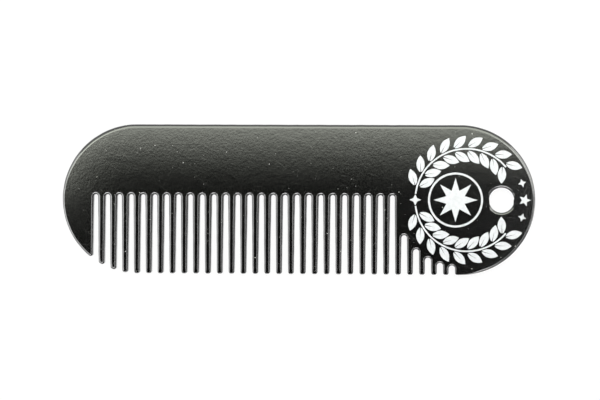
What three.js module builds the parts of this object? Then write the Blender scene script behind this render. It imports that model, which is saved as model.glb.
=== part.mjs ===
// A flat beard comb: one black coated metal plate with thirty teeth, a hanging hole in its tail, and
// a wreath printed in white ink on its front face.
//
// Millimetres, +Z up. The comb lies on its back with the printed face up. +X runs along the comb
// towards the hanging hole, the teeth point towards -Y, and the origin is the middle of the back face.

import * as THREE from 'three';

// Plate: a strip with round ends.
const LENGTH = 95;
const WIDTH = 30;
const THICKNESS = 2;
const EDGE_ROUND = 0.42; // radius of every edge between a face and a side
const EDGE_STEPS = 2; // facets across that radius
const END_STEPS = 36; // sides of a half-round end

// Gaps between the teeth. They widen from the root to the tips.
const GAP_COUNT = 31;
const GAP_PITCH = 2.39;
const FIRST_GAP_X = -40.77;
const GAP_TOP_Y = 0.88;
const GAP_ROOT_WIDTH = 0.91;
const GAP_TIP_WIDTH = 1.28;
const GAP_ROOT_STEPS = 6; // sides of each half-round root
const STOP_RADIUS = 13.2; // circle round the tail, which the last gaps stop short of
const TIP_ROUND = 0.45; // radius of the corners at the tips
const TIP_TURN = Math.PI / 6; // most that the outline turns at one point of a rounded tip

// Hanging hole in the tail.
const HOLE_X = 40.8;
const HOLE_RADIUS = 2.5;
const HOLE_SEGMENTS = 16; // half of the sides of the hole

// Printed wreath: two leafy branches that rise from a knot and open at the hanging hole.
const INK_THICKNESS = 0.05;
const WREATH_X = 33.8;
const STEM_RADIUS = 10.25;
const STEM_WIDTH = 0.32;
const STEM_FIRST = 0.12; // angle from the knot to the foot of a stem, in radians
const STEM_LAST = 2.44; // angle from the knot to the tip of a stem
const STEM_SEGMENTS = 12;
const LEAF_PAIRS = 9;
const LEAF_PITCH = 0.264; // angle between the feet of neighbouring leaves
const LEAF_LENGTH = 3.55;
const LEAF_WIDTH = 1.65;
const LEAF_SEGMENTS = 8;
const LEAF_FOOT = 0.36; // from the middle of the stem to the foot of a leaf
const OUTER_SPREAD = 0.56; // angle between the stem and an outer leaf
const INNER_SPREAD = 0.82;
const KNOT_SIZE = 1.15;

// Printed star in the middle, and three small marks between the hole and the end of the tail.
const STAR_X = 31.6;
const STAR_POINTS = 8;
const STAR_RADIUS = 4.4;
const STAR_WAIST = 0.45; // inner radius of a star, as a part of its outer radius
const RING_RADIUS = 5.3;
const RING_WIDTH = 0.4;
const RING_SEGMENTS = 20;
const TAIL_MARK_RADIUS = 11.6; // from the middle of the wreath
const TAIL_MARK_PITCH = 0.3;
const TAIL_STAR_POINTS = 5;
const TAIL_STAR_RADIUS = 1.25;
const TAIL_DIAMOND_SIZE = 0.85;

const END_RADIUS = WIDTH / 2;
const END_X = LENGTH / 2 - END_RADIUS;
const END_STEP = Math.PI / END_STEPS;

const coat = new THREE.MeshStandardMaterial({ color: 0x1d1d1b, roughness: 0.38, metalness: 0 });
const ink = new THREE.MeshStandardMaterial({ color: 0xeef4f0, roughness: 0.6, metalness: 0 });

const comb = new THREE.Group();

/** Points along an arc, both ends included. */
function arcPoints(centre, radius, from, to, steps) {
  return Array.from({ length: steps + 1 }, (_, i) => {
    const angle = THREE.MathUtils.lerp(from, to, i / steps);
    return new THREE.Vector2(radius * Math.cos(angle), radius * Math.sin(angle)).add(centre);
  });
}

/** Points of the arc that rounds a convex corner of a counter-clockwise outline. */
function roundedCorner(before, corner, after, radius) {
  const back = before.clone().sub(corner).normalize();
  const onward = after.clone().sub(corner).normalize();
  const half = Math.acos(back.dot(onward)) / 2;
  const centre = back.clone().add(onward).setLength(radius / Math.sin(half)).add(corner);
  const start = back.clone().multiplyScalar(radius / Math.tan(half)).add(corner).sub(centre).angle();
  const turn = Math.PI - 2 * half;
  return arcPoints(centre, radius, start, start + turn, Math.ceil(turn / TIP_TURN));
}

/** Height of the lower edge of the plain strip at x. */
function lowerEdge(x) {
  const pastEnd = Math.max(Math.abs(x) - END_X, 0);
  return -Math.sqrt(END_RADIUS ** 2 - pastEnd ** 2);
}

/** Half the width of a gap at height y. */
function halfGap(y) {
  const part = (GAP_TOP_Y - y) / (GAP_TOP_Y + END_RADIUS);
  return THREE.MathUtils.lerp(GAP_ROOT_WIDTH, GAP_TIP_WIDTH, part) / 2;
}

/** Height at which the gap at x stops: the common line, or the circle round the tail. */
function gapTop(x) {
  const across = x - END_X;
  return Math.abs(across) < STOP_RADIUS ? -Math.sqrt(STOP_RADIUS ** 2 - across ** 2) : GAP_TOP_Y;
}

/** One gap: its half-round root, and the two corners where its sides meet the lower edge. */
function makeGap(index) {
  const x = FIRST_GAP_X + index * GAP_PITCH;
  const top = gapTop(x);
  const radius = halfGap(top);
  const corner = (side) => {
    const y = lowerEdge(x + (side * GAP_TIP_WIDTH) / 2);
    return new THREE.Vector2(x + side * halfGap(y), y);
  };
  return {
    left: corner(-1),
    root: arcPoints(new THREE.Vector2(x, top - radius), radius, Math.PI, 0, GAP_ROOT_STEPS),
    right: corner(1),
  };
}

function plateOutline() {
  const gaps = Array.from({ length: GAP_COUNT }, (_, index) => makeGap(index));
  const rightEnd = arcPoints(new THREE.Vector2(END_X, 0), END_RADIUS, -Math.PI / 2, Math.PI / 2, END_STEPS);
  const guardTip = Math.PI + Math.acos((-END_X - gaps[0].left.x) / END_RADIUS);
  const leftSteps = Math.floor((guardTip - Math.PI / 2) / END_STEP) - 1; // the tip's rounding takes the last
  const leftStop = Math.PI / 2 + leftSteps * END_STEP;
  const leftEnd = arcPoints(new THREE.Vector2(-END_X, 0), END_RADIUS, Math.PI / 2, leftStop, leftSteps);

  const teethSide = gaps.flatMap((gap, index) => {
    const before = index > 0 ? gaps[index - 1].right : leftEnd.at(-1);
    const after = index < GAP_COUNT - 1 ? gaps[index + 1].left : rightEnd[0];
    return [
      ...roundedCorner(before, gap.left, gap.root[0], TIP_ROUND),
      ...gap.root,
      ...roundedCorner(gap.root.at(-1), gap.right, after, TIP_ROUND),
    ];
  });
  return new THREE.Shape([...rightEnd, ...leftEnd, ...teethSide]);
}

function addPlate() {
  const outline = plateOutline();
  outline.holes.push(new THREE.Path().absarc(HOLE_X, 0, HOLE_RADIUS, 0, 2 * Math.PI));
  const geometry = new THREE.ExtrudeGeometry(outline, {
    depth: THICKNESS - 2 * EDGE_ROUND,
    bevelThickness: EDGE_ROUND,
    bevelSize: EDGE_ROUND,
    bevelOffset: -EDGE_ROUND,
    bevelSegments: EDGE_STEPS,
    curveSegments: HOLE_SEGMENTS,
  });
  const plate = new THREE.Mesh(geometry, coat);
  plate.name = 'comb_plate';
  plate.position.z = EDGE_ROUND;
  comb.add(plate);
}

/** One printed island of ink, as a thin film on the front face. */
function addInk(name, shape, position, angle = 0, segments = LEAF_SEGMENTS) {
  const options = { depth: INK_THICKNESS, bevelEnabled: false, curveSegments: segments };
  const film = new THREE.Mesh(new THREE.ExtrudeGeometry(shape, options), ink);
  film.name = name;
  film.position.set(position.x, position.y, THICKNESS);
  film.rotation.z = angle;
  comb.add(film);
}

function leafShape() {
  const leaf = new THREE.Shape();
  leaf.quadraticCurveTo(LEAF_LENGTH / 2, LEAF_WIDTH, LEAF_LENGTH, 0);
  leaf.quadraticCurveTo(LEAF_LENGTH / 2, -LEAF_WIDTH, 0, 0);
  return leaf;
}

function stemShape(from, to) {
  const stem = new THREE.Shape();
  stem.absarc(0, 0, STEM_RADIUS + STEM_WIDTH / 2, from, to, to < from);
  stem.absarc(0, 0, STEM_RADIUS - STEM_WIDTH / 2, to, from, to > from);
  return stem;
}

function starShape(points, radius) {
  const corners = Array.from({ length: 2 * points }, (_, i) => {
    const reach = i % 2 === 0 ? radius : radius * STAR_WAIST;
    const angle = (i * Math.PI) / points;
    return new THREE.Vector2(reach * Math.cos(angle), reach * Math.sin(angle));
  });
  return new THREE.Shape(corners);
}

function ringShape() {
  const ring = new THREE.Shape().absarc(0, 0, RING_RADIUS + RING_WIDTH / 2, 0, 2 * Math.PI);
  ring.holes.push(new THREE.Path().absarc(0, 0, RING_RADIUS - RING_WIDTH / 2, 0, 2 * Math.PI));
  return ring;
}

/** Point of the wreath at a radius and an angle, counted from its middle. */
function wreathPoint(radius, angle) {
  return new THREE.Vector2(WREATH_X + radius * Math.cos(angle), radius * Math.sin(angle));
}

/** One branch, from the knot towards the hole. turn is -1 for the upper branch and 1 for the lower. */
function addBranch(name, turn) {
  const centre = new THREE.Vector2(WREATH_X, 0);
  const stem = stemShape(Math.PI + turn * STEM_FIRST, Math.PI + turn * STEM_LAST);
  addInk(`${name}_stem`, stem, centre, 0, STEM_SEGMENTS);

  for (let pair = 1; pair <= LEAF_PAIRS; pair += 1) {
    const angle = Math.PI + turn * pair * LEAF_PITCH;
    const onward = angle + (turn * Math.PI) / 2;
    const outer = wreathPoint(STEM_RADIUS + LEAF_FOOT, angle);
    const inner = wreathPoint(STEM_RADIUS - LEAF_FOOT, angle);
    addInk(`${name}_outer_leaf_${pair}`, leafShape(), outer, onward - turn * OUTER_SPREAD);
    addInk(`${name}_inner_leaf_${pair}`, leafShape(), inner, onward + turn * INNER_SPREAD);
  }
}

function addWreath() {
  addBranch('upper', -1);
  addBranch('lower', 1);
  addInk('wreath_knot', starShape(4, KNOT_SIZE), wreathPoint(STEM_RADIUS, Math.PI));
}

function addStars() {
  const middle = new THREE.Vector2(STAR_X, 0);
  addInk('centre_star', starShape(STAR_POINTS, STAR_RADIUS), middle);
  addInk('centre_ring', ringShape(), middle, 0, RING_SEGMENTS);
  addInk('tail_star', starShape(TAIL_STAR_POINTS, TAIL_STAR_RADIUS), wreathPoint(TAIL_MARK_RADIUS, 0));
  for (const [name, side] of [['upper_tail_diamond', 1], ['lower_tail_diamond', -1]]) {
    const angle = side * TAIL_MARK_PITCH;
    addInk(name, starShape(4, TAIL_DIAMOND_SIZE), wreathPoint(TAIL_MARK_RADIUS, angle), angle);
  }
}

addPlate();
addWreath();
addStars();

export default comb;
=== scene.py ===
"""A black coated metal beard comb with a white printed wreath, lying on a white studio floor.

The CAD model is the frame: its plate and its printed islands are faceted, and are replaced here by
finer meshes of the same size. Metres throughout, +Z up, +X towards the hanging hole.
"""

import math
import random

import bpy
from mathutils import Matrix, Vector
from mathutils.geometry import delaunay_2d_cdt


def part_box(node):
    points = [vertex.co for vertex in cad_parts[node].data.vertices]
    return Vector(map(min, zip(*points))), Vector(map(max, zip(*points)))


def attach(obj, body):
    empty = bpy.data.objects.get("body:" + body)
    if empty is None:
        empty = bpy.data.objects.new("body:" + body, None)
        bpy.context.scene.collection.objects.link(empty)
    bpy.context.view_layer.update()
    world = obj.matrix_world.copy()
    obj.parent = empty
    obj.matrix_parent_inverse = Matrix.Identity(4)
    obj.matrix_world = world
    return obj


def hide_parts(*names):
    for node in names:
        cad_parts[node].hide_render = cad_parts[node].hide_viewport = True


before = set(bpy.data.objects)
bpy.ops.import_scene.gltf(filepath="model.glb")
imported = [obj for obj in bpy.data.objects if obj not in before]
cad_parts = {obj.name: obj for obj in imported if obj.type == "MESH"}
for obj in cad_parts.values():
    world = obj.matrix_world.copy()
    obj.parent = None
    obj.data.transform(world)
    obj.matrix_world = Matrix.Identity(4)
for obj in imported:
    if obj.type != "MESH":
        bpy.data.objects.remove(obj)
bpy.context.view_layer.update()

MM = 0.001
QUARTER = math.pi / 2
TURN = 2 * math.pi

# ---------------------------------------------------------------- sizes of the plate
plate_low, plate_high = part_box("comb_plate")
LENGTH = plate_high.x - plate_low.x
WIDTH = plate_high.y - plate_low.y
THICKNESS = plate_high.z
END_RADIUS = WIDTH / 2
END_X = LENGTH / 2 - END_RADIUS
EDGE_ROUND = 0.42 * MM
EDGE_STEPS = 7  # facets across the rounding of an edge
SHEARED_SHARE = 0.3  # part of that rounding along the straight lower edge, and on the tips along it
SHEARED_HEIGHT = 0.7 * MM  # above the lower edge, where the rounding is whole again
WORN_SHARE = 1.9  # part of it round the upper half of the outside, which is tumbled the most
WORN_HEIGHT = 2 * MM  # below the middle, where that wear ends
ROOT_SHARE = 1.12  # part of it at the root of the teeth and round the hole
TIP_SHARE = 0.8  # part of it at their tips
EDGE_WAVE = 0.018 * MM  # the coat isn't quite even along the edges
EDGE_WAVE_LENGTHS = (2.6 * MM, 4.3 * MM, 9.7 * MM)
EDGE_SEED = 3

GAP_COUNT = 31
GAP_PITCH = 2.39 * MM
FIRST_GAP_X = -40.77 * MM
GAP_TOP_Y = 0.88 * MM
GAP_ROOT_WIDTH = 0.91 * MM
GAP_TIP_WIDTH = 1.28 * MM
STOP_RADIUS = 13.2 * MM  # circle round the tail, which the last gaps stop short of
TIP_ROUND = 0.45 * MM
GUARD_LEAD = 1.1 * MM  # stretch of the left end that the rounded tip of the guard takes

HOLE_X = 40.8 * MM
HOLE_RADIUS = 2.5 * MM

LONG_STEP = 0.5 * MM  # point spacing along the outside
SIDE_STEP = 0.7 * MM  # along the sides of a tooth
SHORT_STEP = 0.1 * MM  # round the tips, the roots and the hole
LID_STEP = 1.7 * MM  # between the points inside a face
LID_MARGIN = 0.8 * MM  # kept free of them, along the edges
INSIDE_ONLY = 1  # delaunay_2d_cdt's output: the triangles inside the outer ring
SAME_POINT = 1e-9  # distance at which it merges two points

# ---------------------------------------------------------------- sizes of the print
INK_EDGE = 0.02 * MM  # rounding of the edge of the film
INK_WAVE = 0.012 * MM  # unevenness of the outline of the print
INK_WAVE_LENGTHS = (0.5 * MM, 0.9 * MM, 2.1 * MM)
INK_STEP = 0.12 * MM  # point spacing along it
WREATH_X = 33.8 * MM
STEM_RADIUS = 10.25 * MM
STEM_WIDTH = 0.32 * MM
STEM_FIRST = 0.12  # angle from the knot to the foot of a stem, in radians
STEM_LAST = 2.44  # angle from the knot to the tip of a stem
LEAF_PAIRS = 9
LEAF_PITCH = 0.264  # angle between the feet of neighbouring leaves
LEAF_LENGTH = 3.55 * MM
LEAF_WIDTH = 1.65 * MM
LEAF_FOOT = 0.36 * MM  # from the middle of the stem to the foot of a leaf
OUTER_SPREAD = 0.56  # angle between the stem and an outer leaf
INNER_SPREAD = 0.82
VEIN_WIDTH = 0.13 * MM  # unprinted slit along the middle of a leaf, from its foot
VEIN_START = 0.07  # parts of the leaf's length
VEIN_END = 0.64
KNOT_SIZE = 1.15 * MM
DIAMOND_POINTS = 4  # of the knot and of the small diamonds
STAR_X = 31.6 * MM
STAR_POINTS = 8
STAR_RADIUS = 4.4 * MM
STAR_WAIST = 0.45  # inner radius of a star, as a part of its outer radius
RING_RADIUS = 5.3 * MM
RING_WIDTH = 0.4 * MM
TAIL_MARK_RADIUS = 11.6 * MM  # from the middle of the wreath
TAIL_MARK_PITCH = 0.3
TAIL_STAR_POINTS = 5
TAIL_STAR_RADIUS = 1.25 * MM
TAIL_DIAMOND_SIZE = 0.85 * MM


# ---------------------------------------------------------------- outlines
# A loop is a list of (point, outward normal), walked with the material on its left.

def arc(centre, radius, start, stop, step):
    """Points along an arc, both ends included. Turning clockwise, the material lies outside it."""
    count = max(2, math.ceil(abs(stop - start) * radius / step))
    sign = 1 if stop > start else -1
    rows = []
    for i in range(count + 1):
        angle = start + (stop - start) * i / count
        ray = Vector((math.cos(angle), math.sin(angle)))
        rows.append((centre + radius * ray, sign * ray))
    return rows


def straight(start, stop, step):
    """Points between two ends, which are left out."""
    along = stop - start
    normal = Vector((along.y, -along.x)).normalized()
    count = math.ceil(along.length / step)
    return [(start + along * (i / count), normal) for i in range(1, count)]


def rounded_corner(before, corner, after, radius, step):
    """Points of the arc that rounds a convex corner."""
    back = (before - corner).normalized()
    onward = (after - corner).normalized()
    half = back.angle(onward) / 2
    centre = corner + (back + onward).normalized() * (radius / math.sin(half))
    first = corner + back * (radius / math.tan(half)) - centre
    start = math.atan2(first.y, first.x)
    return arc(centre, radius, start, start + math.pi - 2 * half, step)


def with_normals(points):
    """A loop from bare points, each normal square to the line between its neighbours."""
    rows = []
    for i, point in enumerate(points):
        along = points[(i + 1) % len(points)] - points[i - 1]
        rows.append((point, Vector((along.y, -along.x)).normalized()))
    return rows


def uneven(loop, size, lengths, seed):
    """The loop moved in and out a little, in waves that close on themselves."""
    draw = random.Random(seed)
    total = sum((loop[i][0] - loop[i - 1][0]).length for i in range(len(loop)))
    waves = [(TURN * max(1, round(total / length)) / total, draw.uniform(0, TURN)) for length in lengths]
    rows, way = [], 0.0
    for i, (point, normal) in enumerate(loop):
        way += (point - loop[i - 1][0]).length
        shift = size * sum(math.sin(rate * way + phase) for rate, phase in waves) / len(waves)
        rows.append((point + normal * shift, normal))
    return rows


# ---------------------------------------------------------------- plate

def lower_edge(x):
    """Height of the lower edge of the plain strip at x."""
    past_end = max(abs(x) - END_X, 0)
    return -math.sqrt(END_RADIUS ** 2 - past_end ** 2)


def half_gap(y):
    """Half the width of a gap at height y."""
    part = (GAP_TOP_Y - y) / (GAP_TOP_Y + END_RADIUS)
    return (GAP_ROOT_WIDTH + (GAP_TIP_WIDTH - GAP_ROOT_WIDTH) * part) / 2


def gap_top(x):
    """Height at which the gap at x stops: the common line, or the circle round the tail."""
    across = x - END_X
    if abs(across) >= STOP_RADIUS:
        return GAP_TOP_Y
    return -math.sqrt(STOP_RADIUS ** 2 - across ** 2)


def gap_corner(x, side):
    """Corner where a side of the gap at x meets the lower edge."""
    y = lower_edge(x + side * GAP_TIP_WIDTH / 2)
    return Vector((x + side * half_gap(y), y))


def teeth_side(left_end, right_end):
    """The outline from the guard's tip to the tail, in and out of every gap."""
    centres = [FIRST_GAP_X + i * GAP_PITCH for i in range(GAP_COUNT)]
    lefts = [gap_corner(x, -1) for x in centres]
    rights = [gap_corner(x, 1) for x in centres]
    rows = []
    for i, x in enumerate(centres):
        top = gap_top(x)
        radius = half_gap(top)
        root = arc(Vector((x, top - radius)), radius, math.pi, 0, SHORT_STEP)
        before = rights[i - 1] if i else left_end
        after = lefts[i + 1] if i < GAP_COUNT - 1 else right_end
        left = rounded_corner(before, lefts[i], root[0][0], TIP_ROUND, SHORT_STEP)
        right = rounded_corner(root[-1][0], rights[i], after, TIP_ROUND, SHORT_STEP)
        rows += left + straight(left[-1][0], root[0][0], SIDE_STEP) + root
        rows += straight(root[-1][0], right[0][0], SIDE_STEP) + right
    return rows


def plate_outline():
    """The outer loop: the round tail, the spine, the round guard, and then the teeth."""
    right_end = arc(Vector((END_X, 0)), END_RADIUS, -QUARTER, QUARTER, LONG_STEP)
    guard = gap_corner(FIRST_GAP_X, -1)
    guard_angle = TURN + math.atan2(guard.y, guard.x + END_X) - GUARD_LEAD / END_RADIUS
    left_end = arc(Vector((-END_X, 0)), END_RADIUS, QUARTER, guard_angle, LONG_STEP)
    top = straight(right_end[-1][0], left_end[0][0], LONG_STEP)
    teeth = teeth_side(left_end[-1][0], right_end[0][0])
    loop = right_end + top + left_end + teeth
    return uneven(loop, EDGE_WAVE, EDGE_WAVE_LENGTHS, EDGE_SEED)


def plate_profile():
    """Rows from the top face down to the back: (inset, face height, rise from it, lean of the normal)."""
    leans = [QUARTER * i / EDGE_STEPS for i in range(EDGE_STEPS + 1)]
    inset = [EDGE_ROUND * (1 - math.sin(lean)) for lean in leans]
    drop = [EDGE_ROUND * (1 - math.cos(lean)) for lean in leans]
    upper = [(inset[i], THICKNESS, -drop[i], leans[i]) for i in range(EDGE_STEPS + 1)]
    lower = [(inset[i], 0, drop[i], math.pi - leans[i]) for i in reversed(range(EDGE_STEPS + 1))]
    return upper + lower


def smooth_step(low, high, value):
    part = max(0, min(1, (value - low) / (high - low)))
    return part * part * (3 - 2 * part)


def plate_rounding(point):
    """Part of the usual rounding that the edge has at a point of the outline."""
    core = Vector((max(-END_X, min(END_X, point.x)), 0))
    if END_RADIUS - (point - core).length < EDGE_ROUND:
        share = 1 + (WORN_SHARE - 1) * smooth_step(-WORN_HEIGHT, END_RADIUS, point.y)
    else:
        share = TIP_SHARE + (ROOT_SHARE - TIP_SHARE) * smooth_step(-END_RADIUS, GAP_TOP_Y, point.y)
    sheared = smooth_step(0, SHEARED_HEIGHT, point.y + END_RADIUS)
    return SHEARED_SHARE + (share - SHEARED_SHARE) * sheared


def face_points():
    """Points spread inside the plate's face, clear of its edges, gaps and hole."""
    rows = []
    columns = math.floor(LENGTH / LID_STEP)
    lines = math.floor(WIDTH / LID_STEP)
    clear = EDGE_ROUND + LID_MARGIN
    for i in range(-columns // 2, columns // 2 + 1):
        for j in range(-lines // 2, lines // 2 + 1):
            point = Vector(((i + 0.5 * (j % 2)) * LID_STEP, j * LID_STEP))
            core = Vector((max(-END_X, min(END_X, point.x)), 0))
            in_strip = (point - core).length < END_RADIUS - clear
            in_tail = (point - Vector((END_X, 0))).length < STOP_RADIUS - clear
            past_hole = (point - Vector((HOLE_X, 0))).length > HOLE_RADIUS + clear
            if in_strip and past_hole and (point.y > GAP_TOP_Y + clear or in_tail):
                rows.append(point)
    return rows


# ---------------------------------------------------------------- solids from outlines

def is_inside(point, loop):
    """Whether a ray from the point crosses the loop an odd number of times."""
    inside = False
    for i, (a, _) in enumerate(loop):
        b = loop[i - 1][0]
        if (a.y > point.y) != (b.y > point.y):
            inside ^= point.x < (b.x - a.x) * (point.y - a.y) / (b.y - a.y) + a.x
    return inside


def lid_triangles(rings, loops, extra):
    """Triangles over a face, as indices into the rings' points and then the extra points."""
    points = [point for ring in rings for point in ring] + extra
    edges, first = [], 0
    for ring in rings:
        edges += [(first + i, first + (i + 1) % len(ring)) for i in range(len(ring))]
        first += len(ring)
    outer = list(range(len(rings[0])))
    made = delaunay_2d_cdt(points, edges, [outer], INSIDE_ONLY, SAME_POINT)
    source = [origins[0] for origins in made[3]]
    triangles = []
    for face in made[2]:
        a, b, c = (source[i] for i in face)
        middle = (points[a] + points[b] + points[c]) / 3
        if any(is_inside(middle, hole) for hole in loops[1:]):
            continue
        turn = (points[b] - points[a]).cross(points[c] - points[a])
        triangles.append((a, b, c) if turn > 0 else (a, c, b))
    return triangles


def even_rounding(_):
    """The same rounding at every point of an outline."""
    return 1.0


def solid(name, loops, profile, extra, rounding):
    """A closed mesh with two flat lids. loops holds the outer loop and then the holes."""
    vertices, normals = [], []
    sizes = [len(loop) for loop in loops]
    ring_size = sum(sizes)
    for inset, face, rise, lean in profile:
        for point, normal in (row for loop in loops for row in loop):
            place = point - inset * rounding(point) * normal
            vertices.append((place.x, place.y, face + rise * rounding(point)))
            normals.append((normal.x * math.sin(lean), normal.y * math.sin(lean), math.cos(lean)))
    faces = []
    for row in range(len(profile) - 1):
        first = row * ring_size
        for size in sizes:
            for i in range(size):
                a, b = first + i, first + (i + 1) % size
                faces.append((a, a + ring_size, b + ring_size, b))
            first += size

    inset = profile[0][0]
    rings = [[point - inset * rounding(point) * normal for point, normal in loop] for loop in loops]
    triangles = lid_triangles(rings, loops, list(extra))
    for base, up, row in ((0, True, profile[0]), ((len(profile) - 1) * ring_size, False, profile[-1])):
        inner = len(vertices) - ring_size
        vertices += [(point.x, point.y, row[1]) for point in extra]
        normals += [(0, 0, 1 if up else -1)] * len(extra)
        for triangle in triangles:
            a, b, c = (base + i if i < ring_size else inner + i for i in triangle)
            faces.append((a, b, c) if up else (a, c, b))

    mesh = bpy.data.meshes.new(name)
    mesh.from_pydata(vertices, [], faces)
    mesh.validate()
    mesh.shade_smooth()
    mesh.normals_split_custom_set_from_vertices(normals)
    piece = bpy.data.objects.new(name, mesh)
    bpy.context.scene.collection.objects.link(piece)
    return piece


def add_piece(name, cad_node, material, loops, profile, extra=(), rounding=even_rounding):
    """A solid that stands for one CAD node, and moves with its body."""
    piece = solid(name, loops, profile, extra, rounding)
    piece.data.materials.append(material)
    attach(piece, "root")
    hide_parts(cad_node)


# ---------------------------------------------------------------- materials
# Scales are in cells to the millimetre. Spacings, radii, lengths, widths and depths are in millimetres.
PEEL_SCALE = 0.55  # orange peel of the coat
MOTTLE_SCALE = 2.2
GRAIN_SCALE = 7.0
CLOUD_SCALE = 0.16  # slow change of its colour and gloss
PEEL_DEPTH = 0.005
MOTTLE_DEPTH = 0.009
GRAIN_DEPTH = 0.001
COAT_DARK = (0.0005, 0.0005, 0.0005, 1)
COAT_LIGHT = (0.0011, 0.0011, 0.0010, 1)
COAT_IOR = 1.75
COAT_ROUGHNESS = 0.072
GRAIN_ROUGHNESS = 0.05  # the most that each of these adds to it
CLOUD_ROUGHNESS = 0.02
SCRATCH_ROUGHNESS = 0.1
DUST_ROUGHNESS = 0.4

# Turn about Z, length, spacing, and the share of the cells that hold a scratch.
SCRATCHES = (
    (0.7, 5.0, 2.4, 0.06),
    (-1.1, 3.4, 1.9, 0.08),
    (0.15, 1.9, 1.1, 0.08),
    (2.2, 1.3, 0.8, 0.08),
)
SCRATCH_HALF_WIDTH = 0.03
SCRATCH_CORE = 0.4  # part of that width at which it starts to fade
SCRATCH_ENDS = (0.5, 0.2)  # parts of a cell from its middle: where it has ended, and where it starts to fade
SCRATCH_SHOW = 0.3  # how much of its own colour it has
SCRATCH_COLOUR = (0.02, 0.02, 0.018, 1)

# Spacing, radius, and the share of the cells that hold a speck.
LARGE_DUST = (2.9, 0.1, 0.11)
SMALL_DUST = (0.9, 0.05, 0.045)
PINHOLES = (1.1, 0.05, 0.2)
DUST_WANDER = 0.14  # by which the outlines of the dust wander
WANDER_SCALE = 6.0
DUST_HEIGHT = 0.02
DUST_COLOUR = (0.45, 0.45, 0.43, 1)

INK_MOTTLE_SCALE = 1.6
INK_GRAIN_SCALE = 14.0
INK_GRAIN_DEPTH = 0.004
INK_DARK = (0.55, 0.555, 0.6, 1)
INK_LIGHT = (0.625, 0.63, 0.68, 1)
INK_ROUGHNESS = 0.4
INK_GRAIN_ROUGHNESS = 0.2
PINHOLE_COLOUR = (0.08, 0.08, 0.08, 1)

FLOOR_SCALE = 0.02
FLOOR_DARK = (0.05, 0.05, 0.05, 1)
FLOOR_LIGHT = (0.055, 0.055, 0.055, 1)
FLOOR_ROUGHNESS = 0.7
FLOOR_SPECULAR = 0.2
FLOOR_GLOW = 0.92  # the floor is a lit panel, so the comb throws hardly any shadow on it


def put(tree, socket, value):
    """Link or set an input of a node."""
    if isinstance(value, bpy.types.NodeSocket):
        tree.links.new(value, socket)
    else:
        socket.default_value = value


def node(tree, kind, inputs, output=0, **settings):
    made = tree.nodes.new(kind)
    for key, value in settings.items():
        setattr(made, key, value)
    for key, value in inputs.items():
        put(tree, made.inputs[key], value)
    return made.outputs[output]


def calc(tree, operation, a, b=0.0, c=0.0):
    return node(tree, "ShaderNodeMath", {0: a, 1: b, 2: c}, operation=operation)


def fade(tree, value, low, high):
    """0 at low, 1 at high, smooth between."""
    inputs = {"Value": value, "From Min": low, "From Max": high}
    return node(tree, "ShaderNodeMapRange", inputs, interpolation_type="SMOOTHSTEP")


def blend(tree, factor, a, b):
    """Colour a where the factor is 0, and b where it is 1."""
    inputs = {0: factor, 6: a, 7: b}
    return node(tree, "ShaderNodeMix", inputs, output=2, data_type="RGBA")


def noise(tree, place, scale, detail=2.0, roughness=0.5):
    inputs = {"Vector": place, "Scale": scale, "Detail": detail, "Roughness": roughness}
    return node(tree, "ShaderNodeTexNoise", inputs)


def relief(tree, layers):
    """The normal over bumps laid on each other. Each layer has a height field and its depth."""
    normal = None
    for height, depth in layers:
        inputs = {"Height": height, "Strength": 1.0, "Distance": depth * MM}
        if normal:
            inputs["Normal"] = normal
        normal = node(tree, "ShaderNodeBump", inputs)
    return normal


def millimetres(tree, turn=0.0, stretch=(1.0, 1.0, 1.0)):
    """Object coordinates in millimetres, turned about Z and stretched."""
    place = node(tree, "ShaderNodeTexCoord", {}, output="Object")
    scale = tuple(1 / (MM * part) for part in stretch)
    turned = node(tree, "ShaderNodeMapping", {"Vector": place, "Rotation": (0, 0, turn)})
    return node(tree, "ShaderNodeMapping", {"Vector": turned, "Scale": scale})


def specks(tree, place, spacing, radius, share):
    """Small round spots that fade from half their radius: one to a cell, in a share of the cells."""
    cells = tree.nodes.new("ShaderNodeTexVoronoi")
    cells.voronoi_dimensions = "2D"
    put(tree, cells.inputs["Vector"], place)
    cells.inputs["Scale"].default_value = 1 / spacing
    draw = node(tree, "ShaderNodeSeparateColor", {0: cells.outputs["Color"]})
    chosen = calc(tree, "LESS_THAN", draw, share)
    reach = calc(tree, "MULTIPLY", cells.outputs["Distance"], spacing / radius)
    return calc(tree, "MULTIPLY", chosen, fade(tree, reach, 1.0, 0.5))


def from_level(tree, value, level):
    """Distance of the part of a value after the point from a level."""
    return calc(tree, "ABSOLUTE", calc(tree, "SUBTRACT", calc(tree, "FRACT", value), level))


def hairlines(tree, turn, length, spacing, share):
    """Fine straight scratches, all turned the same way: one to a cell, in a share of the cells."""
    cells = millimetres(tree, turn, (length, spacing, 1.0))
    place = node(tree, "ShaderNodeSeparateXYZ", {0: cells}).node.outputs
    corner = {0: calc(tree, "FLOOR", place["X"]), 1: calc(tree, "FLOOR", place["Y"])}
    cell = node(tree, "ShaderNodeCombineXYZ", corner)
    draws = node(tree, "ShaderNodeTexWhiteNoise", {0: cell}, output="Color", noise_dimensions="2D")
    parts = node(tree, "ShaderNodeSeparateColor", {0: draws}).node.outputs
    edge = SCRATCH_HALF_WIDTH / spacing
    line = fade(tree, from_level(tree, place["Y"], parts["Red"]), edge, SCRATCH_CORE * edge)
    ends = fade(tree, from_level(tree, place["X"], 0.5), *SCRATCH_ENDS)
    chosen = calc(tree, "LESS_THAN", parts["Green"], share)
    return calc(tree, "MULTIPLY", calc(tree, "MULTIPLY", line, ends), chosen)


def new_material(name):
    material = bpy.data.materials.new(name)
    material.use_nodes = True
    return material, material.node_tree, material.node_tree.nodes["Principled BSDF"]


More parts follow.
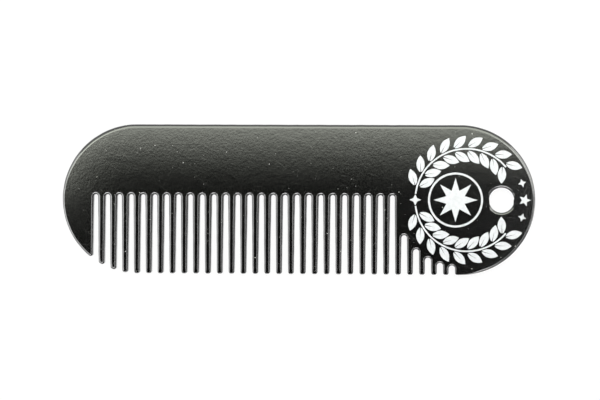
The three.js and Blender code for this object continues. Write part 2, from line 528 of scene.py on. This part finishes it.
def coat_scratches(tree):
    scratches = 0.0
    for turn, length, spacing, share in SCRATCHES:
        scratches = calc(tree, "MAXIMUM", scratches, hairlines(tree, turn, length, spacing, share))
    return scratches


def coat_dust(tree, place):
    """Specks whose outlines wander, so that they aren't round."""
    wander = node(tree, "ShaderNodeTexNoise", {"Vector": place, "Scale": WANDER_SCALE}, output="Color")
    inputs = {0: wander, 1: (DUST_WANDER,) * 3, 2: place}
    shaken = node(tree, "ShaderNodeVectorMath", inputs, operation="MULTIPLY_ADD")
    return calc(tree, "MAXIMUM", specks(tree, shaken, *LARGE_DUST), specks(tree, shaken, *SMALL_DUST))


def coat_material():
    """Semi-gloss black coat: faint orange peel, hairline scratches and white dust."""
    material, tree, shader = new_material("black_coat")
    place = millimetres(tree)
    peel = noise(tree, place, PEEL_SCALE, detail=1.0)
    mottle = noise(tree, place, MOTTLE_SCALE, detail=3.0, roughness=0.65)
    grain = noise(tree, place, GRAIN_SCALE, detail=3.0, roughness=0.6)
    cloud = noise(tree, place, CLOUD_SCALE, detail=3.0)
    scratches = coat_scratches(tree)
    dust = coat_dust(tree, place)

    black = blend(tree, cloud, COAT_DARK, COAT_LIGHT)
    scuffed = blend(tree, calc(tree, "MULTIPLY", scratches, SCRATCH_SHOW), black, SCRATCH_COLOUR)
    put(tree, shader.inputs["Base Color"], blend(tree, dust, scuffed, DUST_COLOUR))

    rough = calc(tree, "MULTIPLY_ADD", grain, GRAIN_ROUGHNESS, COAT_ROUGHNESS)
    rough = calc(tree, "MULTIPLY_ADD", cloud, CLOUD_ROUGHNESS, rough)
    rough = calc(tree, "MULTIPLY_ADD", scratches, SCRATCH_ROUGHNESS, rough)
    put(tree, shader.inputs["Roughness"], calc(tree, "MULTIPLY_ADD", dust, DUST_ROUGHNESS, rough))

    layers = ((peel, PEEL_DEPTH), (mottle, MOTTLE_DEPTH), (grain, GRAIN_DEPTH), (dust, DUST_HEIGHT))
    put(tree, shader.inputs["Normal"], relief(tree, layers))
    shader.inputs["IOR"].default_value = COAT_IOR
    return material


def ink_material():
    """Screen printed white ink: slightly mottled, with a few pinholes."""
    material, tree, shader = new_material("white_ink")
    place = millimetres(tree)
    mottle = noise(tree, place, INK_MOTTLE_SCALE, detail=4.0, roughness=0.6)
    grain = noise(tree, place, INK_GRAIN_SCALE, detail=2.0)
    holes = specks(tree, place, *PINHOLES)

    white = blend(tree, fade(tree, mottle, 0.3, 0.7), INK_DARK, INK_LIGHT)
    put(tree, shader.inputs["Base Color"], blend(tree, holes, white, PINHOLE_COLOUR))
    rough = calc(tree, "MULTIPLY_ADD", grain, INK_GRAIN_ROUGHNESS, INK_ROUGHNESS)
    put(tree, shader.inputs["Roughness"], rough)
    layers = ((calc(tree, "SUBTRACT", grain, holes), INK_GRAIN_DEPTH),)
    put(tree, shader.inputs["Normal"], relief(tree, layers))
    return material


def floor_material():
    """White studio floor, lit from below."""
    material, tree, shader = new_material("studio_floor")
    place = millimetres(tree)
    shade = blend(tree, noise(tree, place, FLOOR_SCALE, detail=2.0), FLOOR_DARK, FLOOR_LIGHT)
    put(tree, shader.inputs["Base Color"], shade)
    shader.inputs["Roughness"].default_value = FLOOR_ROUGHNESS
    shader.inputs["Specular IOR Level"].default_value = FLOOR_SPECULAR
    shader.inputs["Emission Color"].default_value = (1, 1, 1, 1)
    shader.inputs["Emission Strength"].default_value = FLOOR_GLOW
    return material


# ---------------------------------------------------------------- print

def fine_points(corners, step):
    """Points along straight lines between corners."""
    points = []
    for i, corner in enumerate(corners):
        onward = corners[(i + 1) % len(corners)] - corner
        count = max(1, round(onward.length / step))
        points += [corner + onward * (j / count) for j in range(count)]
    return points


def leaf_points():
    """Outline of a leaf from its foot, with the unprinted vein cut into it."""

    def bow(part):
        return 2 * part * (1 - part) * LEAF_WIDTH

    count = round(LEAF_LENGTH / INK_STEP)
    parts = [VEIN_START + (1 - VEIN_START) * i / count for i in range(count + 1)]
    under = [Vector((LEAF_LENGTH * part, -bow(part))) for part in parts]
    over = [Vector((LEAF_LENGTH * part, bow(part))) for part in reversed(parts[:-1])]
    start = LEAF_LENGTH * VEIN_START
    stop = LEAF_LENGTH * VEIN_END
    vein = [Vector((start, VEIN_WIDTH / 2)), Vector((stop, 0)), Vector((start, -VEIN_WIDTH / 2))]
    return under + over + vein


def stem_points(start, stop):
    outer = arc(Vector((0, 0)), STEM_RADIUS + STEM_WIDTH / 2, start, stop, INK_STEP)
    inner = arc(Vector((0, 0)), STEM_RADIUS - STEM_WIDTH / 2, stop, start, INK_STEP)
    return [point for point, _ in outer + inner]


def star_points(points, radius):
    corners = []
    for i in range(2 * points):
        reach = radius if i % 2 == 0 else radius * STAR_WAIST
        angle = i * math.pi / points
        corners.append(Vector((reach * math.cos(angle), reach * math.sin(angle))))
    return fine_points(corners, INK_STEP)


def wreath_point(radius, angle):
    """Point at a radius and an angle from the middle of the wreath."""
    return Vector((WREATH_X + radius * math.cos(angle), radius * math.sin(angle)))


def placed(points, place, angle=0.0):
    """Points turned by an angle about the origin, and moved by place."""
    cosine, sine = math.cos(angle), math.sin(angle)
    return [place + Vector((cosine * p.x - sine * p.y, sine * p.x + cosine * p.y)) for p in points]


def add_ink(name, loops, material):
    """One printed island of ink, between the heights of its CAD film."""
    low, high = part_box(name)
    ink_base, ink_top = low.z, high.z
    middle = (ink_top + ink_base) / 2
    profile = [(INK_EDGE, ink_top, 0, 0), (0, middle, 0, QUARTER), (0, ink_base, 0, QUARTER)]
    seed = sum(ord(letter) for letter in name)
    rows = [uneven(with_normals(points), INK_WAVE, INK_WAVE_LENGTHS, seed) for points in loops]
    add_piece("ink_" + name, name, material, rows, profile)


def add_branch(name, turn, material):
    """One branch, from the knot towards the hole. turn is -1 for the upper branch and 1 for the lower."""
    start = math.pi + turn * STEM_FIRST
    stop = math.pi + turn * STEM_LAST
    stem = stem_points(min(start, stop), max(start, stop))
    add_ink(name + "_stem", [placed(stem, Vector((WREATH_X, 0)))], material)
    for pair in range(1, LEAF_PAIRS + 1):
        angle = math.pi + turn * pair * LEAF_PITCH
        onward = angle + turn * QUARTER
        outer = wreath_point(STEM_RADIUS + LEAF_FOOT, angle)
        inner = wreath_point(STEM_RADIUS - LEAF_FOOT, angle)
        outer_leaf = placed(leaf_points(), outer, onward - turn * OUTER_SPREAD)
        inner_leaf = placed(leaf_points(), inner, onward + turn * INNER_SPREAD)
        add_ink(f"{name}_outer_leaf_{pair}", [outer_leaf], material)
        add_ink(f"{name}_inner_leaf_{pair}", [inner_leaf], material)


def add_stars(material):
    middle = Vector((STAR_X, 0))
    outer = [p for p, _ in arc(middle, RING_RADIUS + RING_WIDTH / 2, 0, TURN, INK_STEP)[:-1]]
    inner = [p for p, _ in arc(middle, RING_RADIUS - RING_WIDTH / 2, TURN, 0, INK_STEP)[:-1]]
    add_ink("centre_star", [placed(star_points(STAR_POINTS, STAR_RADIUS), middle)], material)
    add_ink("centre_ring", [outer, inner], material)
    star = star_points(TAIL_STAR_POINTS, TAIL_STAR_RADIUS)
    add_ink("tail_star", [placed(star, wreath_point(TAIL_MARK_RADIUS, 0))], material)
    for name, angle in (("upper_tail_diamond", TAIL_MARK_PITCH), ("lower_tail_diamond", -TAIL_MARK_PITCH)):
        diamond = star_points(DIAMOND_POINTS, TAIL_DIAMOND_SIZE)
        add_ink(name, [placed(diamond, wreath_point(TAIL_MARK_RADIUS, angle), angle)], material)


def add_comb():
    hole = arc(Vector((HOLE_X, 0)), HOLE_RADIUS, TURN, 0, SHORT_STEP)[:-1]
    add_piece("plate", "comb_plate", coat_material(), [plate_outline(), hole],
              plate_profile(), face_points(), plate_rounding)
    ink = ink_material()
    add_branch("upper", -1, ink)
    add_branch("lower", 1, ink)
    knot = placed(star_points(DIAMOND_POINTS, KNOT_SIZE), wreath_point(STEM_RADIUS, math.pi))
    add_ink("wreath_knot", [knot], ink)
    add_stars(ink)


# ---------------------------------------------------------------- studio
VIEW_WIDTH = 120.4 * MM  # width of the picture where the comb lies
LENS = 150.0
SENSOR = 36.0
CAMERA_LEAN = math.radians(3.0)  # towards the tail
CAMERA_TURN = math.radians(0.25)
CAMERA_AIM = Vector((0.45 * MM, -0.02 * MM, THICKNESS))
FLOOR_SIZE = 6.0
FLOOR_GAP = 0.05 * MM  # keeps the floor clear of the comb's back
SKY_LOW = (0.9, 0.9, 0.9, 1)
SKY_HIGH = (0.01, 0.01, 0.01, 1)
SKY_FADE = (0.1, 0.75)  # rise of the direction in which the sky starts to darken, and where it is darkest
WHITE = (1, 1, 1)

# Level softboxes above the comb: name, two x, two y, radiance, and whether it only draws highlights.
OVERHEAD = 0.152  # height of the lowest
LAYER_STEP = 1 * MM  # rise to the next, as overlapping lights at one height would hide each other
OVERHEAD_COLOUR = (0.96, 1.0, 0.88)
OVERHEADS = (
    ("key", (-0.11, 0.11), (0.0168, 0.3), 2.95, False),
    ("key_rim", (-0.11, 0.11), (0.010, 0.25), 0.82, False),
    ("back", (-0.11, 0.13), (0.05, 0.34), 1.4, True),
    ("side", (-0.13, -0.070), (0.004, 0.06), 2.4, True),
    ("side_rim", (-0.13, -0.063), (0.004, 0.06), 0.8, True),
    ("corner", (-0.13, -0.060), (0.015, 0.1), 1.6, True),
    ("left_wing", (-0.3, -0.11), (0.02, 0.3), 2.2, True),
    ("right_wing", (0.11, 0.3), (0.02, 0.3), 3.4, True),
    ("guard", (-0.13, -0.0665), (-0.004, 0.006), 0.14, True),
    ("guard_rim", (-0.13, -0.0655), (-0.009, 0.006), 0.12, True),
)

# Upright softboxes beside the comb, for its rims: name, x, two y, two heights, radiance.
UPRIGHTS = (
    ("left_high", -0.075, (0.005, 0.03), (0.004, 0.06), 2.4),
    ("left_middle", -0.075, (-0.022, 0.005), (0.004, 0.06), 5.5),
    ("left_low", -0.075, (-0.08, -0.022), (0.004, 0.196), 3.6),
    ("right_high", 0.11, (0.003, 0.081), (0.004, 0.064), 5.0),
    ("right_low", 0.11, (-0.034, 0.002), (0.003, 0.025), 9.0),
)

# Large softboxes that face the comb from afar: name, place, size, radiance, highlights only.
FAR_BOXES = (
    ("front", (0, -0.6, 1.04), (0.7, 0.5), 14.0, True),
    ("left_far", (-0.67, 0, 0.995), (0.7, 0.69), 1.8, True),
    ("right", (0.35, 0, 1.15), (0.7, 0.38), 6.5, False),
)


def add_camera():
    data = bpy.data.cameras.new("camera")
    data.lens = LENS
    data.sensor_width = SENSOR
    camera = bpy.data.objects.new("camera", data)
    distance = VIEW_WIDTH * LENS / SENSOR
    camera.location = CAMERA_AIM + distance * Vector((math.sin(CAMERA_LEAN), 0, math.cos(CAMERA_LEAN)))
    camera.rotation_euler = (0, CAMERA_LEAN, CAMERA_TURN)
    bpy.context.scene.collection.objects.link(camera)
    bpy.context.scene.camera = camera


def add_floor():
    bpy.ops.mesh.primitive_plane_add(size=FLOOR_SIZE, location=(0, 0, -FLOOR_GAP))
    floor = bpy.context.object
    floor.name = "floor"
    floor.data.materials.append(floor_material())


def add_softbox(name, place, aim, size, radiance, colour, gloss_only):
    """A rectangular light of the given width and height at place, facing aim. The camera doesn't see it.
    Most only draw highlights, so that the white ink isn't lit too much."""
    width, height = size
    data = bpy.data.lights.new(name, "AREA")
    data.shape = "RECTANGLE"
    data.size, data.size_y = width, height
    data.energy = radiance * math.pi * width * height
    data.color = colour
    light = bpy.data.objects.new(name, data)
    light.location = place
    light.rotation_euler = (Vector(place) - Vector(aim)).to_track_quat("Z", "Y").to_euler()
    light.visible_camera = False
    light.visible_diffuse = not gloss_only
    bpy.context.scene.collection.objects.link(light)


def middle_and_size(ends):
    return sum(ends) / 2, ends[1] - ends[0]


def add_lights():
    for layer, (name, across, along, radiance, gloss_only) in enumerate(OVERHEADS):
        x, width = middle_and_size(across)
        y, height = middle_and_size(along)
        place = (x, y, OVERHEAD + layer * LAYER_STEP)
        add_softbox(name, place, (x, y, 0), (width, height), radiance, OVERHEAD_COLOUR, gloss_only)
    for name, x, along, upward, radiance in UPRIGHTS:
        y, width = middle_and_size(along)
        z, height = middle_and_size(upward)
        add_softbox(name, (x, y, z), (0, y, z), (width, height), radiance, WHITE, True)
    for name, place, size, radiance, gloss_only in FAR_BOXES:
        add_softbox(name, place, (0, 0, 0), size, radiance, WHITE, gloss_only)


def add_world():
    """A sky that is white near the horizon and dark overhead."""
    world = bpy.data.worlds.new("studio")
    bpy.context.scene.world = world
    world.use_nodes = True
    tree = world.node_tree
    ray = node(tree, "ShaderNodeTexCoord", {}, output="Generated")
    rise = node(tree, "ShaderNodeSeparateXYZ", {0: ray}, output="Z")
    shade = blend(tree, fade(tree, rise, *SKY_FADE), SKY_LOW, SKY_HIGH)
    put(tree, tree.nodes["Background"].inputs["Color"], shade)


def add_studio():
    add_floor()
    add_lights()
    add_world()
    bpy.context.scene.view_settings.view_transform = "Standard"


add_camera()
add_comb()
add_studio()
